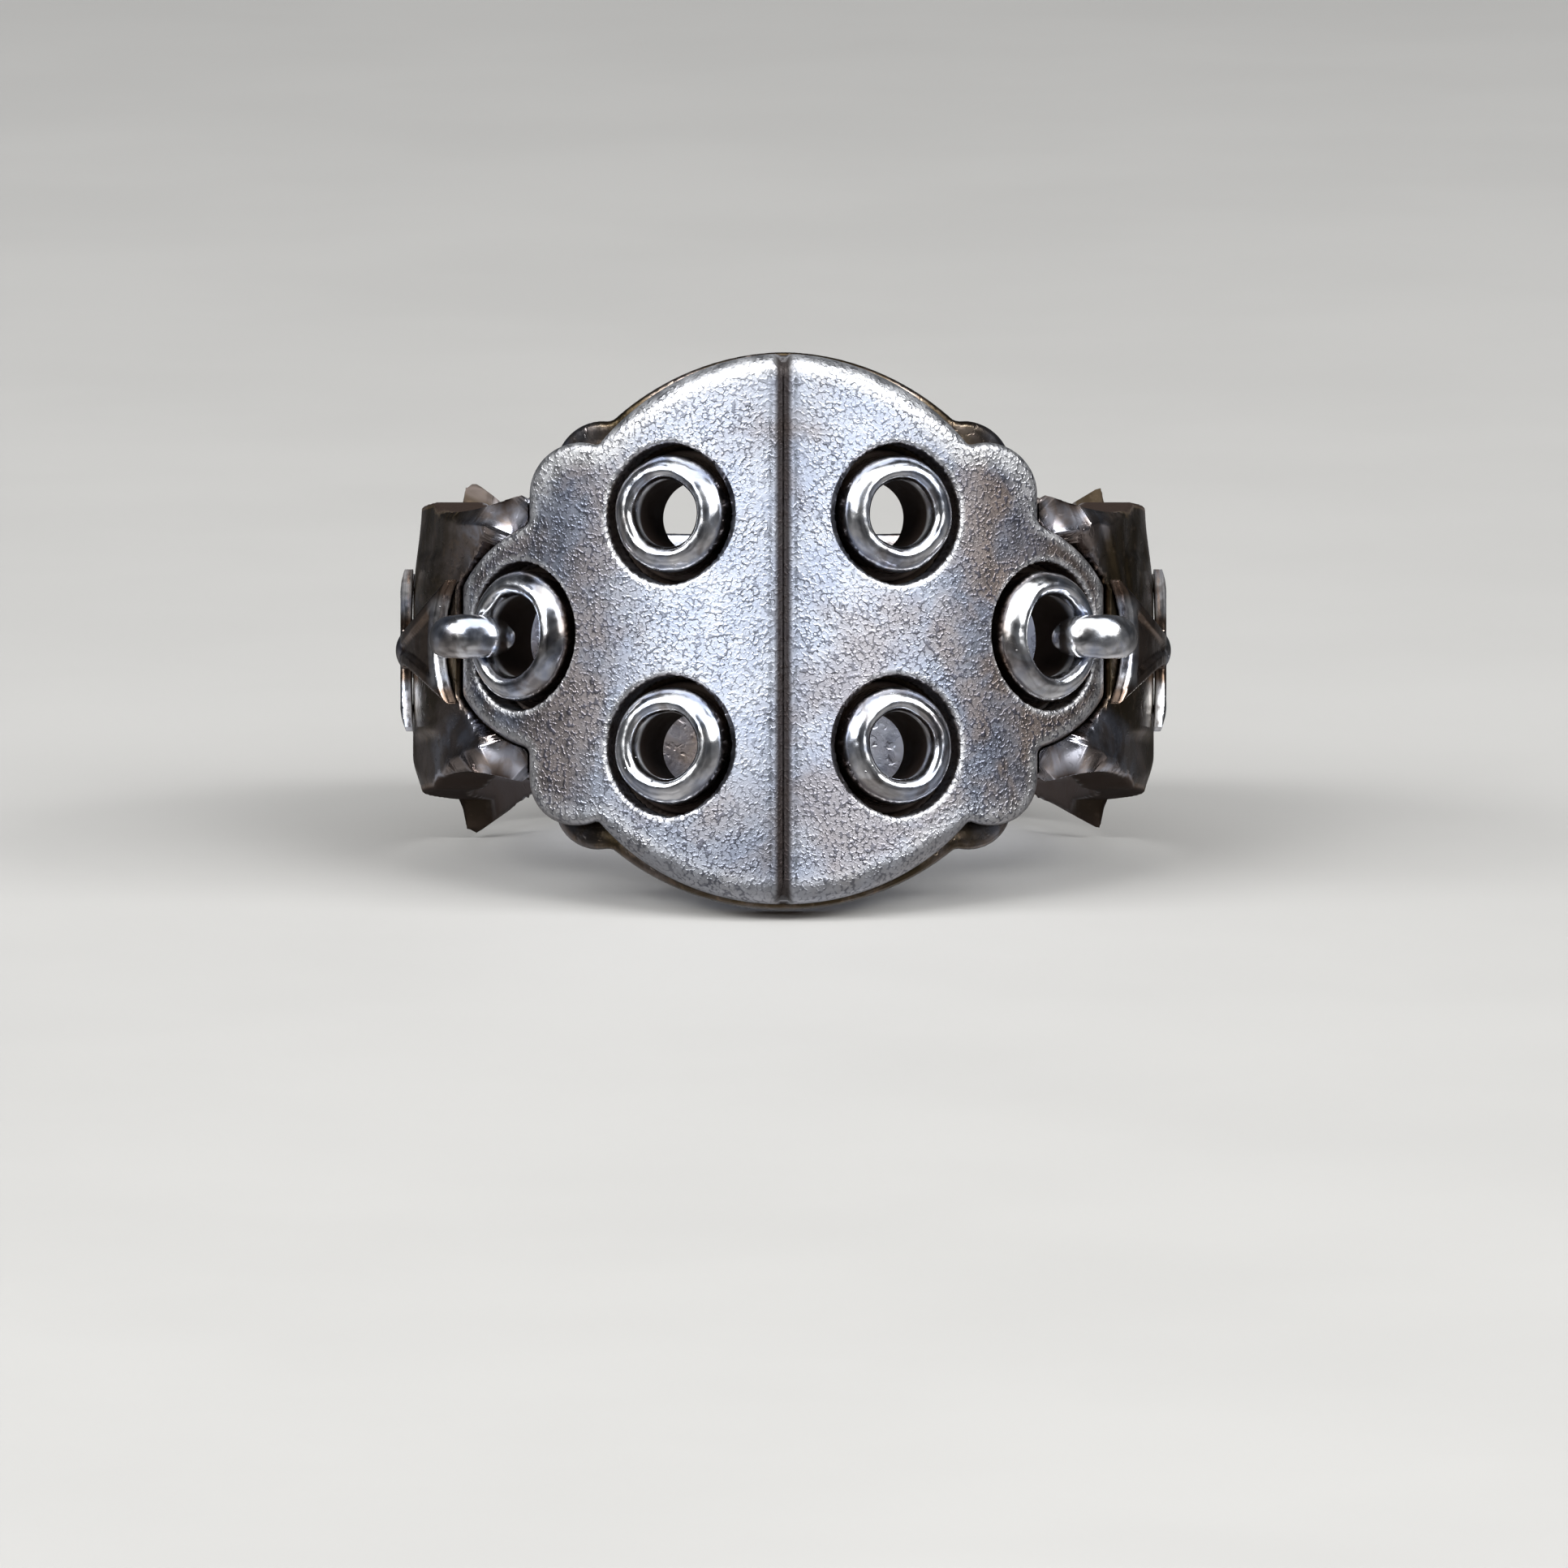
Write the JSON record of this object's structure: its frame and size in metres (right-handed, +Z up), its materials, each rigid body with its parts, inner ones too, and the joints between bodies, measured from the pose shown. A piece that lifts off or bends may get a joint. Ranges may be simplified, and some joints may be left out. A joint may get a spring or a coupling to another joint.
{
  "type": "knuckle armor ring",
  "caption": "Finger ring with a keeled shield plate on a scalloped base, open eyelets in the plate, and a flared cross with a small link on each shoulder.",
  "frame": {"origin": "middle of the bounding box at the surface that the ring lies on", "axes": "+Z up from that surface; the shield plate faces -Y; +X is to the right when the plate is looked at; the finger hole points up and leans back by 12 degrees"},
  "size_m": [0.025, 0.0259, 0.0177],
  "materials": {
    "band": "worn silver, dark in the recesses, smooth inside",
    "plate": "finely pitted antique silver",
    "eyelet": "polished silver with dark recesses",
    "link": "polished silver",
    "cross": "worn polished silver, dark round its edges"
  },
  "bodies": {
    "root": {"ring_band": "band", "armor_plate": "plate", "eyelet_upper_left": "eyelet", "eyelet_upper_right": "eyelet", "eyelet_lower_left": "eyelet", "eyelet_lower_right": "eyelet", "eyelet_side_left": "eyelet", "eyelet_side_right": "eyelet", "link_left": "link", "link_right": "link", "side_cross_left": "cross", "side_cross_right": "cross"}
  },
  "joints": []
}
